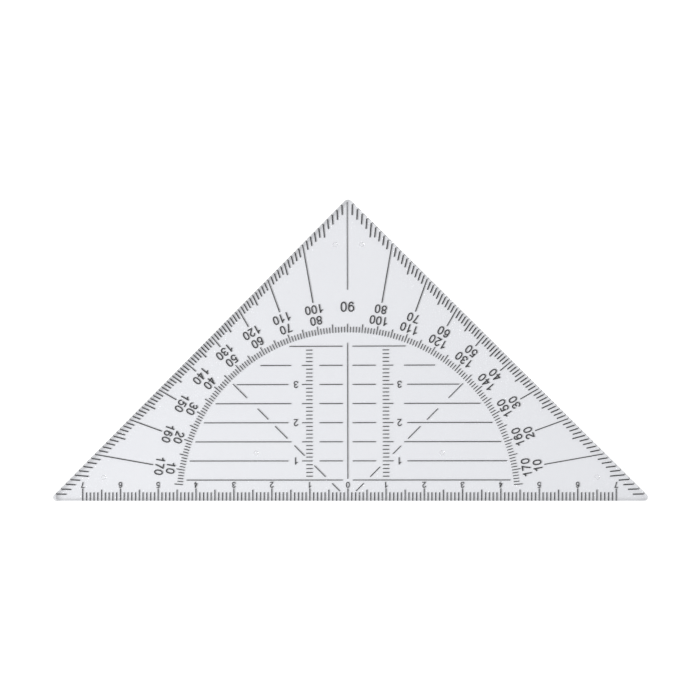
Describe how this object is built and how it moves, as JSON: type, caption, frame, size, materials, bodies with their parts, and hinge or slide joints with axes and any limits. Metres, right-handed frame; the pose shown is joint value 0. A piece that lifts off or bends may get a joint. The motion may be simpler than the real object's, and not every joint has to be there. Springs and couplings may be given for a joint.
{
  "type": "protractor set square",
  "caption": "Clear right-angled set square with a millimetre scale on its long edge, degree marks on both legs, a half round protractor scale and parallel lines.",
  "frame": {"origin": "middle of the long measuring edge, halfway through the plate", "axes": "+X along the measuring edge, +Y towards the apex, +Z out of the upper face, from which the print reads right"},
  "size_m": [0.1558, 0.0787, 0.0023],
  "materials": {
    "clear_plastic": "clear and glossy",
    "ink": "black printed ink, matt"
  },
  "bodies": {
    "root": {"plate": "clear_plastic", "edge_scale": "ink", "edge_numerals": "ink", "left_leg_scale": "ink", "right_leg_scale": "ink", "left_rays": "ink", "right_rays": "ink", "ninety_line": "ink", "ninety_numeral": "ink", "outer_degree_numerals": "ink", "inner_degree_numerals": "ink", "half_round_scale": "ink", "left_parallel_lines": "ink", "right_parallel_lines": "ink", "centre_line": "ink", "left_upright_scale": "ink", "right_upright_scale": "ink", "left_upright_numerals": "ink", "right_upright_numerals": "ink", "left_diagonal": "ink", "right_diagonal": "ink"}
  },
  "joints": []
}
